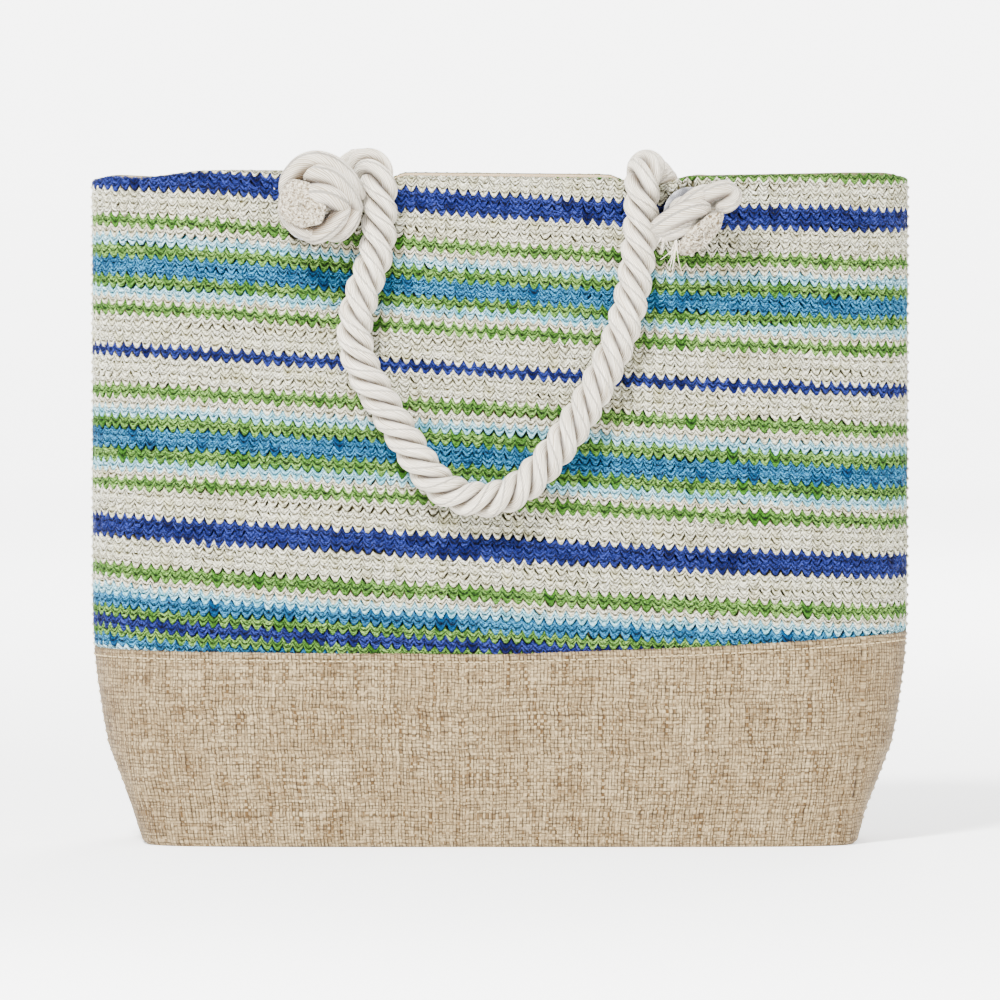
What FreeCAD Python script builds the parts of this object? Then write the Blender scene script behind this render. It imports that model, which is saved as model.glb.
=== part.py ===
import FreeCAD, Part
import math
import os
from FreeCAD import Placement, Rotation, Vector

# A beach tote bag: two straw panels over two burlap lower panels, a lining, a facing inside the mouth,
# and two rope handles that pass through eyelets, end in knots outside and hang over the top edge.
# Millimetres. The origin is the centre of the base, +Z is up and the front panel faces -Y.

SIZES = {
    "top_height": 386.0,  # floor to the plain top edge
    "seam_height": 113.0,  # floor to the seam between burlap and straw
    "gusset_height": 60.0,  # floor to the point of the boxed corner
    "flare_height": 145.0,  # where the sides become upright
    "gusset_step_height": 30.0,  # heights of the outlines between the named ones
    "flare_step_height": 100.0,
    "body_step_height": 265.0,
    "base_half_width": 204.0,
    "gusset_half_width": 225.5,
    "body_half_width": 235.0,
    "base_half_depth": 62.0,
    "body_half_depth": 60.0,
    "top_half_depth": 49.5,
    "base_squareness": 6.0,  # exponents of the superellipse outline: 2 is an ellipse
    "gusset_squareness": 3.6,
    "body_squareness": 2.7,
    "top_squareness": 2.3,
    "panel_thickness": 3.2,
    "lining_thickness": 1.0,
    "cloth_gap": 0.2,  # air between a panel and the cloth behind it
    "facing_height": 29.0,  # depth of the tan band inside the mouth
    "facing_drop": 1.0,  # the band ends this far below the top edge
    "rope_radius": 10.5,
    "eyelet_spacing_half": 109.0,
    "eyelet_height": 363.0,
    "eyelet_bore_radius": 10.8,
    "eyelet_barrel_radius": 12.2,
    "eyelet_flange_radius": 15.5,
    "eyelet_flange_thickness": 1.2,
    "washer_radius": 15.0,
    "washer_thickness": 0.8,
    "metal_gap": 0.3,  # flange and washer stand this far off the cloth
    "front_hinge_height": 377.0,  # axis that the front handle swings about
    "rear_hinge_height": 374.0,
    "hinge_half_depth": 46.0,  # middle of the wall where the ropes cross it
    "dip_radius": 40.0,  # the soft edge sinks under each rope
    "dip_rise": 1.5,  # bottom of the dip above the hinge axis
    "hole_clearance": 0.1,  # hole in the cloth around an eyelet's barrel
    "hole_length": 20.0,  # enough to pass the wall
    "mouth_overshoot": 20.0,  # the hollows go on this far above the mouth
    "overshoot": 1.0,  # a cutting solid goes on this far past what it cuts
}

os.makedirs("parts", exist_ok=True)
doc = FreeCAD.newDocument("beach_bag")
sheet = doc.addObject("Spreadsheet::Sheet", "Sizes")
for row, (alias, value) in enumerate(SIZES.items(), start=1):
    sheet.set(f"A{row}", alias)
    sheet.set(f"B{row}", str(value))
    sheet.setAlias(f"B{row}", alias)
doc.recompute()

ROPE_RADIUS = float(sheet.rope_radius)
WALL = float(sheet.panel_thickness)
CLOTH = float(sheet.lining_thickness)
GAP = float(sheet.cloth_gap)
FRONT = -1
REAR = 1
OUTLINE_POINTS = 48
TRIM_SHARE = 0.45  # part of a straight run that the bend at its end may take
finished = {}  # the finished sub-parts, by node name


# ---------------------------------------------------------------- outline of the bag


def between(height, steps):
    """Value at a height on straight lines between (height, value) steps."""
    for (low, low_value), (high, high_value) in zip(steps, steps[1:]):
        if height <= high:
            share = (height - low) / (high - low)
            return low_value + share * (high_value - low_value)
    return steps[-1][1]


def half_width(height):
    return between(
        height,
        [
            (0.0, sheet.base_half_width),
            (sheet.gusset_height, sheet.gusset_half_width),
            (sheet.flare_height, sheet.body_half_width),
            (sheet.top_height, sheet.body_half_width),
        ],
    )


def half_depth(height):
    return between(
        height,
        [
            (0.0, sheet.base_half_depth),
            (sheet.flare_height, sheet.body_half_depth),
            (sheet.top_height, sheet.top_half_depth),
        ],
    )


def squareness(height):
    return between(
        height,
        [
            (0.0, sheet.base_squareness),
            (sheet.gusset_height, sheet.gusset_squareness),
            (sheet.flare_height, sheet.body_squareness),
            (sheet.top_height, sheet.top_squareness),
        ],
    )


def outline(height, inset, level=None):
    """Closed outline at a height, moved inwards, and drawn at level if that is another height."""
    width = half_width(height) - inset
    depth = half_depth(height) - inset
    power = squareness(height)
    points = []
    for index in range(OUTLINE_POINTS):
        angle = math.pi / 2 + 2 * math.pi * index / OUTLINE_POINTS
        cosine = math.cos(angle)
        sine = math.sin(angle)
        reach = (abs(cosine) ** power + abs(sine) ** power) ** (-1 / power)
        points.append(Vector(width * reach * cosine, depth * reach * sine, height if level is None else level))
    curve = Part.BSplineCurve()
    curve.interpolate(Points=points, PeriodicFlag=True)
    return Part.Wire([curve.toShape()])


def panel_depth(x, height, inset=0.0):
    """Distance of the wall from the middle plane, at a place along the bag and a height."""
    power = squareness(height)
    share = abs(x) / (half_width(height) - inset)
    return (half_depth(height) - inset) * (1 - share**power) ** (1 / power)


def wall_normal(x, height, side):
    """Unit vector that points out of the panel on that side."""
    step = 1.0
    along = (panel_depth(x + step, height) - panel_depth(x - step, height)) / (2 * step)
    upward = (panel_depth(x, height + step) - panel_depth(x, height - step)) / (2 * step)
    normal = Vector(-along, side, -upward)
    normal.normalize()
    return normal


# ---------------------------------------------------------------- document helpers


def loft(name, inset, bottom, top):
    """Solid inside the bag's outline, inset all round, from bottom to top."""
    middle = [
        sheet.gusset_step_height,
        sheet.gusset_height,
        sheet.flare_step_height,
        sheet.flare_height,
        sheet.body_step_height,
    ]
    levels = [bottom] + [level for level in middle if level > bottom] + [sheet.top_height]
    sections = []
    for level in levels:
        section = doc.addObject("Part::Feature", f"{name}_section")
        section.Shape = outline(level, inset)
        sections.append(section)
    if top > sheet.top_height:
        lid = doc.addObject("Part::Feature", f"{name}_section")
        lid.Shape = outline(sheet.top_height, inset, top)
        sections.append(lid)
    solid = doc.addObject("Part::Loft", name)
    solid.Sections = sections
    solid.Solid = True
    solid.Ruled = True
    return solid


def block(name, low, high):
    """Box between two corners, each a triple of expressions on the sheet."""
    box = doc.addObject("Part::Box", name)
    for axis, size, start, end in zip("xyz", ("Length", "Width", "Height"), low, high):
        box.setExpression(size, f"({end}) - ({start})")
        box.setExpression(f"Placement.Base.{axis}", start)
    return box


def rod(name, radius, length, centre, direction):
    """Cylinder centred on a point; radius and length are expressions on the sheet."""
    cylinder = doc.addObject("Part::Cylinder", name)
    cylinder.setExpression("Radius", radius)
    cylinder.setExpression("Height", length)
    doc.recompute()
    start = centre - direction * (cylinder.Height.Value / 2)
    cylinder.Placement = Placement(start, Rotation(Vector(0, 0, 1), direction))
    return cylinder


def cut(name, base, tools):
    for number, tool in enumerate(tools):
        piece = doc.addObject("Part::Cut", f"{name}_cut{number}")
        piece.Base = base
        piece.Tool = tool
        base = piece
    return base


def common(name, base, tool):
    piece = doc.addObject("Part::Common", name)
    piece.Base = base
    piece.Tool = tool
    return piece


def finish(node, piece):
    """Names a piece after its node and keeps it for the hand-in."""
    piece.Label = node
    finished[node] = piece
    return piece


# ---------------------------------------------------------------- rope routes


def rope_path(points, from_middle=False, to_middle=False):
    """Straight runs joined by tangent arcs. The wire may start or end at the middle of its outer run."""
    edges = []
    radii = []
    start = (points[0] + points[1]) * 0.5 if from_middle else points[0]
    for before, corner, after in zip(points, points[1:], points[2:]):
        arrive = corner - before
        leave = after - corner
        shorter = min(arrive.Length, leave.Length)
        turn = arrive.getAngle(leave)
        trim = TRIM_SHARE * shorter
        radius = trim / math.tan(turn / 2)
        arrive.normalize()
        leave.normalize()
        arc_start = corner - arrive * trim
        arc_end = corner + leave * trim
        inward = leave - arrive
        inward.normalize()
        arc_middle = corner + inward * (radius / math.cos(turn / 2) - radius)
        edges.append(Part.LineSegment(start, arc_start).toShape())
        edges.append(Part.Arc(arc_start, arc_middle, arc_end).toShape())
        radii.append(round(radius, 1))
        start = arc_end
    end = (points[-2] + points[-1]) * 0.5 if to_middle else points[-1]
    edges.append(Part.LineSegment(start, end).toShape())
    return Part.Wire(edges), radii


def rope(node, points, from_middle=False, to_middle=False):
    """Round tube of the rope's diameter along a route."""
    wire, radii = rope_path(points, from_middle, to_middle)
    path = doc.addObject("Part::Feature", f"{node}_path")
    path.Shape = wire
    profile = doc.addObject("Part::Circle", f"{node}_profile")
    profile.setExpression("Radius", "Sizes.rope_radius")
    first = wire.OrderedEdges[0]
    heading = first.tangentAt(first.FirstParameter)
    profile.Placement = Placement(wire.OrderedVertexes[0].Point, Rotation(Vector(0, 0, 1), heading))
    tube = doc.addObject("Part::Sweep", f"{node}_tube")
    tube.Sections = [profile]
    tube.Spine = (path, [f"Edge{number + 1}" for number in range(len(wire.Edges))])
    tube.Solid = True
    tube.Frenet = True
    doc.recompute()
    expected = math.pi * ROPE_RADIUS**2 * wire.Length
    share = tube.Shape.Volume / expected
    print(f"{node}: length {wire.Length:.1f}, radii {radii}, volume share {share:.4f}")
    return finish(node, tube)


def knot(node, centre, radii, tilt):
    """Egg-shaped envelope of an overhand knot, with radii along X, Y and Z before its tilt about Y."""
    ball = doc.addObject("Part::Ellipsoid", f"{node}_ball")
    ball.Radius2 = radii[0]
    ball.Radius3 = radii[1]
    ball.Radius1 = radii[2]
    ball.Placement = Placement(centre, Rotation(Vector(0, -1, 0), tilt))
    return finish(node, ball)


# Each handle is one rope. Its route is, in order: the knot outside the left eyelet, two corners inside
# the bag, one above the front of the edge, the hanging loop, and the same corners again on the right.
# The front rope's route is listed for the front; the rear one is listed with Y taken as negative too,
# and is turned to the back by its side.

FRONT_LOOP = [
    Vector(-68.7, -60.7, 363.0),
    Vector(-70.0, -61.2, 342.0),
    Vector(-78.5, -62.4, 320.0),
    Vector(-84.0, -63.4, 300.0),
    Vector(-81.5, -64.8, 280.0),
    Vector(-71.0, -66.2, 261.0),
    Vector(-59.0, -67.5, 242.0),
    Vector(-47.5, -68.8, 223.5),
    Vector(-35.5, -69.5, 208.0),
    Vector(-20.3, -70.0, 200.5),
    Vector(-3.2, -70.1, 199.7),
    Vector(12.6, -70.0, 206.4),
    Vector(30.5, -69.4, 225.5),
    Vector(45.5, -68.0, 247.0),
    Vector(58.5, -66.2, 270.0),
    Vector(69.0, -64.2, 293.0),
    Vector(75.5, -62.5, 316.0),
    Vector(79.3, -61.3, 339.5),
    Vector(81.3, -60.7, 363.0),
]
FRONT_LEFT = [
    Vector(-110.5, -62.0, 363.0),
    Vector(-107.5, -31.0, 363.0),
    Vector(-84.5, -31.5, 391.0),
    Vector(-69.3, -60.5, 391.0),
]
FRONT_RIGHT = [
    Vector(110.5, -62.0, 363.0),
    Vector(107.5, -31.0, 363.0),
    Vector(96.0, -31.5, 391.0),
    Vector(82.0, -60.5, 391.0),
]
REAR_LOOP = [
    Vector(-72.5, -60.7, 360.0),
    Vector(-73.5, -61.4, 338.0),
    Vector(-77.5, -62.8, 311.0),
    Vector(-76.5, -64.4, 285.0),
    Vector(-66.5, -66.4, 258.0),
    Vector(-52.0, -68.0, 233.0),
    Vector(-34.0, -69.5, 211.0),
    Vector(-13.0, -70.2, 200.0),
    Vector(9.0, -70.2, 200.5),
    Vector(30.0, -69.6, 213.0),
    Vector(47.0, -68.2, 235.5),
    Vector(63.0, -66.2, 260.0),
    Vector(75.5, -64.0, 286.0),
    Vector(81.0, -62.4, 312.0),
    Vector(83.5, -61.2, 338.0),
    Vector(84.5, -60.7, 360.0),
]
REAR_LEFT = [
    Vector(-110.5, -62.0, 360.0),
    Vector(-108.0, -31.0, 360.0),
    Vector(-88.0, -31.5, 388.0),
    Vector(-73.0, -60.5, 388.0),
]
REAR_RIGHT = [
    Vector(110.5, -62.0, 360.0),
    Vector(108.5, -31.0, 360.0),
    Vector(98.0, -31.5, 388.0),
    Vector(85.0, -60.5, 388.0),
]


def to_side(points, side):
    return [Vector(point.x, -side * point.y, point.z) for point in points]


def handle(word, side, left, loop, right):
    """The nodes of one rope: an end and a bend at each side, and the hanging loop."""
    left = to_side(left, side)
    loop = to_side(loop, side)
    right = to_side(right, side)
    for hand, leg, loop_end in (("left", left, loop[0]), ("right", right, loop[-1])):
        rope(f"{word}_{hand}_rope_end", leg[:3], to_middle=True)
        rope(f"{word}_{hand}_rope_bend", leg[1:] + [loop_end], from_middle=True, to_middle=True)
    rope(f"{word}_handle_rope", [left[3]] + loop + [right[3]], from_middle=True, to_middle=True)


# ---------------------------------------------------------------- cloth


def cloth_parts():
    """Panels, lining and facing: nested shells of the outline, split at the side seams."""
    above = float(sheet.top_height + sheet.mouth_overshoot)
    inner = WALL + GAP
    outside = loft("outside", 0.0, 0.0, sheet.top_height)
    panel_hollow = loft("panel_hollow", WALL, WALL, above)
    lining_outside = loft("lining_outside", inner, inner, sheet.top_height)
    lining_hollow = loft("lining_hollow", inner + CLOTH, inner + CLOTH, above)
    shell = cut("shell", outside, [panel_hollow])
    cloth = cut("cloth", lining_outside, [lining_hollow])
    wide = "2 * Sizes.body_half_width"
    deep = "2 * Sizes.body_half_depth"
    facing_foot = "Sizes.top_height - Sizes.facing_height"
    facing_head = "Sizes.top_height - Sizes.facing_drop"
    layers = {
        "straw_panel": (shell, "Sizes.seam_height", "Sizes.top_height + Sizes.overshoot"),
        "lower_panel": (shell, "-Sizes.overshoot", "Sizes.seam_height"),
        "lining": (cloth, "-Sizes.overshoot", f"{facing_foot} - Sizes.cloth_gap"),
        "top_facing": (cloth, facing_foot, facing_head),
    }
    for word, side in (("front", FRONT), ("rear", REAR)):
        near = f"-({deep})" if side == FRONT else "0"
        far = "0" if side == FRONT else deep
        openings = edge_openings(word, side)
        for layer, (source, foot, head) in layers.items():
            name = f"{word}_{layer}"
            window = block(f"{name}_block", (f"-({wide})", near, foot), (wide, far, head))
            piece = common(f"{name}_common", source, window)
            if layer != "lower_panel":
                piece = cut(name, piece, openings)
            finish(name, piece)


def edge_openings(word, side):
    """Solids that cut the eyelet holes and the dips under the ropes out of one side's wall."""
    hinge_height = getattr(sheet, f"{word}_hinge_height")
    left = FRONT_LEFT if side == FRONT else REAR_LEFT
    right = FRONT_RIGHT if side == FRONT else REAR_RIGHT
    tools = []
    for hand, leg in (("left", left), ("right", right)):
        middle = (leg[2].x + leg[3].x) / 2
        above = hinge_height + sheet.dip_rise + sheet.dip_radius
        centre = Vector(middle, side * sheet.hinge_half_depth, above)
        name = f"{word}_{hand}_dip"
        tools.append(rod(name, "Sizes.dip_radius", "Sizes.top_half_depth", centre, Vector(0, 1, 0)))
        centre, normal = eyelet_place(word, hand)
        name = f"{word}_{hand}_hole"
        radius = "Sizes.eyelet_barrel_radius + Sizes.hole_clearance"
        tools.append(rod(name, radius, "Sizes.hole_length", centre, normal))
    return tools


def eyelet_place(word, hand):
    """Middle of the wall at an eyelet, and the direction out of the bag there."""
    side = FRONT if word == "front" else REAR
    drop = sheet.front_hinge_height - getattr(sheet, f"{word}_hinge_height")
    height = sheet.eyelet_height - drop
    x = sheet.eyelet_spacing_half * (-1 if hand == "left" else 1)
    normal = wall_normal(x, height, side)
    surface = Vector(x, side * panel_depth(x, height), height)
    return surface - normal * ((WALL + GAP + CLOTH) / 2), normal


# ---------------------------------------------------------------- eyelets


def ring(name, outer, inner, thickness, centre, direction):
    disc = rod(f"{name}_disc", outer, thickness, centre, direction)
    bore = rod(f"{name}_bore", inner, f"{thickness} + 2 * Sizes.overshoot", centre, direction)
    return cut(name, disc, [bore])


def eyelet(word, hand):
    """Eyelet with its flange outside and its barrel through the wall, and the washer it is set into."""
    centre, normal = eyelet_place(word, hand)
    half_wall = (WALL + GAP + CLOTH) / 2 + float(sheet.metal_gap)
    flange_half = float(sheet.eyelet_flange_thickness) / 2
    washer_half = float(sheet.washer_thickness) / 2
    name = f"{word}_{hand}_eyelet"
    flange_centre = centre + normal * (half_wall + flange_half)
    flange = ring(
        f"{name}_flange",
        "Sizes.eyelet_flange_radius",
        "Sizes.eyelet_bore_radius",
        "Sizes.eyelet_flange_thickness",
        flange_centre,
        normal,
    )
    barrel = ring(
        f"{name}_barrel",
        "Sizes.eyelet_barrel_radius",
        "Sizes.eyelet_bore_radius",
        f"{2 * half_wall}",
        centre,
        normal,
    )
    whole = doc.addObject("Part::Fuse", name)
    whole.Base = flange
    whole.Tool = barrel
    finish(name, whole)
    washer = ring(
        f"{name}_washer",
        "Sizes.washer_radius",
        "Sizes.eyelet_bore_radius",
        "Sizes.washer_thickness",
        centre - normal * (half_wall + washer_half),
        normal,
    )
    finish(f"{name}_washer", washer)


# ---------------------------------------------------------------- the bag

cloth_parts()
for word in ("front", "rear"):
    for hand in ("left", "right"):
        eyelet(word, hand)
handle("front", FRONT, FRONT_LEFT, FRONT_LOOP, FRONT_RIGHT)
handle("rear", REAR, REAR_LEFT, REAR_LOOP, REAR_RIGHT)
knot("front_left_knot", Vector(-103.5, -68.9, 374.0), (23.5, 20.0, 26.0), 0)
knot("front_right_knot", Vector(115.4, -69.6, 365.0), (28.0, 20.0, 13.0), 37.5)
knot("rear_left_knot", Vector(-106.5, 69.0, 356.0), (22.0, 20.0, 22.0), 0)
knot("rear_right_knot", Vector(118.5, 68.6, 356.0), (22.0, 20.0, 22.0), 0)
doc.recompute()

# ---------------------------------------------------------------- checks and files

for item in doc.Objects:
    if "Invalid" in item.State or "Error" in item.State:
        raise RuntimeError(f"{item.Label} failed to compute")
for node, piece in finished.items():
    if piece.Shape.isNull() or not piece.Shape.isValid() or not piece.Shape.Solids:
        raise RuntimeError(f"{node} has no valid solid")
for node, piece in finished.items():
    piece.Shape.exportStep(f"parts/{node}.step")
    print(f"{node}: {len(piece.Shape.Solids)} solid, {piece.Shape.Volume / 1000:.2f} cm3")
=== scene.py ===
"""Beach tote bag: striped crocheted straw over burlap, with two twisted rope handles.

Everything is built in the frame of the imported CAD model, +Z up and the front facing -Y. Lengths in the mesh
code are millimetres, and mesh_piece turns them into metres.
"""

import math

import bpy
import numpy as np
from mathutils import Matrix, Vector


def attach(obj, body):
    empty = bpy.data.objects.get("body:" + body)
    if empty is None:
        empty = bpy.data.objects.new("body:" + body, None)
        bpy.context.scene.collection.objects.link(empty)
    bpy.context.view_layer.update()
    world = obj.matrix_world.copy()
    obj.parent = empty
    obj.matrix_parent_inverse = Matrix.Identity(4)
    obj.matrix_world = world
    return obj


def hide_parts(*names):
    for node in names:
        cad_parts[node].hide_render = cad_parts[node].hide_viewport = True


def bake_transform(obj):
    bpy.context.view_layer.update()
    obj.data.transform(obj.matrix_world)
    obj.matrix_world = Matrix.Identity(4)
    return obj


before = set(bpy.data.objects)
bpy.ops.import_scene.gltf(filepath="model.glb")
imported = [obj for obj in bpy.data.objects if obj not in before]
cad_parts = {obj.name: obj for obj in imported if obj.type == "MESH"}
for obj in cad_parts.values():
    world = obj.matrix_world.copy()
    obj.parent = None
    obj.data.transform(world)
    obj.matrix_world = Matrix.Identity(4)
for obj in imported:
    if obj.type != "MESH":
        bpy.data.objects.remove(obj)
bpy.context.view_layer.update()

MM = 0.001
random = np.random.default_rng(20)

# -------- camera

FRAME_WIDTH = 0.573  # what the picture spans where the camera aims
SENSOR_WIDTH = 36.0
AIM = Vector((0.0, -0.06, 0.1995))
CAMERA_PLACE = Vector((0.0, -8.0, 0.626))

camera_data = bpy.data.cameras.new("front_camera")
camera_data.sensor_width = SENSOR_WIDTH
camera_data.lens = SENSOR_WIDTH * (CAMERA_PLACE - AIM).length / FRAME_WIDTH
camera_data.clip_end = 60.0
camera = bpy.data.objects.new("front_camera", camera_data)
camera.location = CAMERA_PLACE
camera.rotation_euler = (AIM - CAMERA_PLACE).to_track_quat("-Z", "Y").to_euler()
bpy.context.scene.collection.objects.link(camera)
bpy.context.scene.camera = camera

# -------- mesh helpers


def mesh_piece(name, points, quads, material, floats=None, vectors=None):
    """Smooth-shaded object from points in millimetres and quads, with attributes on its points."""
    points = np.asarray(points, dtype=np.float64).reshape(-1, 3) * MM
    quads = np.asarray(quads, dtype=np.int32)
    mesh = bpy.data.meshes.new(name)
    mesh.vertices.add(len(points))
    mesh.vertices.foreach_set("co", points.ravel())
    mesh.loops.add(quads.size)
    mesh.loops.foreach_set("vertex_index", quads.ravel())
    mesh.polygons.add(len(quads))
    mesh.polygons.foreach_set("loop_start", np.arange(0, quads.size, 4, dtype=np.int32))
    mesh.polygons.foreach_set("use_smooth", np.ones(len(quads), dtype=bool))
    for kind, field, table in (("FLOAT", "value", floats), ("FLOAT_VECTOR", "vector", vectors)):
        for label, values in (table or {}).items():
            layer = mesh.attributes.new(label, kind, "POINT")
            layer.data.foreach_set(field, np.asarray(values, dtype=np.float32).ravel())
    mesh.update(calc_edges=True)
    mesh.validate()
    mesh.materials.append(material)
    piece = bpy.data.objects.new(name, mesh)
    bpy.context.scene.collection.objects.link(piece)
    return piece


def grid_quads(rows, columns):
    """Quads of a grid of points stored row after row."""
    row, column = np.meshgrid(np.arange(rows - 1), np.arange(columns - 1), indexing="ij")
    corner = (row * columns + column).ravel()
    return np.stack([corner, corner + 1, corner + columns + 1, corner + columns], axis=1)


def side_quads(rings, around):
    """Quads round a tube whose rings are stored one after another."""
    ring, spoke = np.meshgrid(np.arange(rings - 1), np.arange(around), indexing="ij")
    here = ring * around + spoke
    side = ring * around + (spoke + 1) % around
    return np.stack([here, side, side + around, here + around], axis=-1).reshape(-1, 4)


def cap_quads(around):
    """Quads of the flat disc inside one ring."""
    half = np.arange(around // 2 - 1)
    return np.stack([half, half + 1, around - 2 - half, around - 1 - half], axis=1)


def tube_quads(rings, around):
    """Quads of a closed tube whose rings are stored one after another, with its two flat ends."""
    cap = cap_quads(around)
    return np.concatenate([side_quads(rings, around), cap[:, ::-1], (rings - 1) * around + cap])


class Heap:
    """Points, quads and point values of many small forms that make up one mesh."""

    def __init__(self):
        self.points, self.quads, self.floats, self.vectors, self.count = [], [], {}, {}, 0

    def add(self, points, quads, floats=None, vectors=None):
        points = np.asarray(points).reshape(-1, 3)
        self.points.append(points)
        self.quads.append(np.asarray(quads) + self.count)
        for label, values in (floats or {}).items():
            self.floats.setdefault(label, []).append(np.broadcast_to(values, len(points)))
        for label, values in (vectors or {}).items():
            self.vectors.setdefault(label, []).append(np.asarray(values).reshape(-1, 3))
        self.count += len(points)

    def piece(self, name, material):
        floats = {label: np.concatenate(parts) for label, parts in self.floats.items()}
        vectors = {label: np.concatenate(parts) for label, parts in self.vectors.items()}
        points = np.concatenate(self.points)
        return mesh_piece(name, points, np.concatenate(self.quads), material, floats, vectors)


def smooth_step(value, low, high):
    """0 at low and 1 at high, with an even rise between; high may be the lower of the two."""
    share = np.clip((value - low) / (high - low), 0.0, 1.0)
    return share * share * (3 - 2 * share)


def slow_noise(count, spacing):
    """Smooth random values of about one unit, with a new random value every spacing samples."""
    knots = random.normal(0.0, 1.0, int(count / spacing) + 4)
    places = np.arange(count) / spacing
    base = places.astype(int)
    share = smooth_step(places - base, 0.0, 1.0)
    return knots[base] * (1 - share) + knots[base + 1] * share


# -------- material helpers


def srgb(red, green, blue):
    """Linear colour of display values from 0 to 255."""
    linear = []
    for value in (red / 255, green / 255, blue / 255):
        linear.append(value / 12.92 if value <= 0.04045 else ((value + 0.055) / 1.055) ** 2.4)
    return (*linear, 1.0)


class Graph:
    """One material and the few node shapes that the cloths and ropes share."""

    def __init__(self, name):
        self.material = bpy.data.materials.new(name)
        self.material.use_nodes = True
        self.tree = self.material.node_tree
        self.shader = self.tree.nodes["Principled BSDF"]

    def put(self, socket, value):
        if isinstance(value, bpy.types.NodeSocket):
            self.tree.links.new(value, socket)
        else:
            socket.default_value = value

    def add(self, kind, settings=None, inputs=None):
        item = self.tree.nodes.new(kind)
        for key, value in (settings or {}).items():
            setattr(item, key, value)
        for key, value in (inputs or {}).items():
            self.put(item.inputs[key], value)
        return item

    def attribute(self, label, output="Vector"):
        return self.add("ShaderNodeAttribute", {"attribute_name": label}).outputs[output]

    def place(self):
        return self.add("ShaderNodeTexCoord").outputs["Object"]

    def noise(self, vector, scale, detail=2.0, rough=0.5):
        mapping = self.add("ShaderNodeMapping", None, {"Vector": vector, "Scale": scale})
        inputs = {"Vector": mapping.outputs["Vector"], "Scale": 1.0, "Detail": detail, "Roughness": rough}
        return self.add("ShaderNodeTexNoise", None, inputs).outputs["Fac"]

    def math(self, operation, first, second=0.0, third=0.0):
        item = self.add("ShaderNodeMath", {"operation": operation})
        for socket, value in zip(item.inputs, (first, second, third)):
            self.put(socket, value)
        return item.outputs[0]

    def plus(self, first, second):
        return self.math("ADD", first, second)

    def times(self, first, second):
        return self.math("MULTIPLY", first, second)

    def span(self, value, low, high, new_low=0.0, new_high=1.0):
        inputs = {"Value": value, "From Min": low, "From Max": high, "To Min": new_low, "To Max": new_high}
        return self.add("ShaderNodeMapRange", None, inputs).outputs["Result"]

    def mix(self, factor, first, second, blend="MIX"):
        item = self.add("ShaderNodeMix", {"data_type": "RGBA", "blend_type": blend})
        for index, value in ((0, factor), (6, first), (7, second)):
            self.put(item.inputs[index], value)
        return item.outputs[2]

    def split(self, vector):
        return self.add("ShaderNodeSeparateXYZ", None, {"Vector": vector}).outputs

    def bump(self, height, strength, distance):
        inputs = {"Height": height, "Strength": strength, "Distance": distance}
        item = self.add("ShaderNodeBump", None, inputs)
        self.put(self.shader.inputs["Normal"], item.outputs["Normal"])

    def finish(self, colour, roughness, **constants):
        self.put(self.shader.inputs["Base Color"], colour)
        self.put(self.shader.inputs["Roughness"], roughness)
        for label, value in constants.items():
            self.shader.inputs[label.replace("_", " ")].default_value = value
        return self.material


def straw_material(name, bright, dark, glint_colour):
    """Glossy paper straw: fine fibres along each ply, with painted shade in the grooves and at the row edges,
    and painted glints on the ridges.
    """
    graph = Graph(name)
    strand = graph.attribute("strand")
    fibres = graph.noise(strand, (0.55, 1.7, 1.7), 3.0, 0.65)
    patches = graph.noise(strand, (0.05, 0.1, 5.3))
    painted_shade = graph.attribute("painted_shade", "Fac")
    tone = graph.attribute("tone", "Fac")
    # painted shade: mixed toward the dark colour where the ribbon lies low, at the row edges and in the
    # groove
    shadow = graph.plus(painted_shade, graph.span(fibres, 0.34, 0.5, 0.5, 0.0))
    colour = graph.mix(shadow, bright, dark)
    light = graph.span(fibres, 0.34, 0.7, 0.55, 1.6)
    light = graph.plus(light, graph.span(patches, 0.3, 0.7, -0.05, 0.05))
    light = graph.plus(light, graph.times(tone, 0.1))
    shade = graph.add("ShaderNodeCombineColor", None, {"Red": light, "Green": light, "Blue": light})
    colour = graph.mix(1.0, colour, shade.outputs["Color"], "MULTIPLY")
    # painted highlight: glints mixed into the colour along the ply ridges
    ridge = graph.attribute("ridge", "Fac")
    glint = graph.times(ridge, graph.span(fibres, 0.44, 0.6, 0.0, 0.85))
    colour = graph.mix(glint, colour, glint_colour)
    graph.bump(fibres, 1.0, 0.0022)
    roughness = graph.span(fibres, 0.3, 0.7, 0.5, 0.3)
    return graph.finish(colour, roughness, Specular_IOR_Level=0.1)


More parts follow.
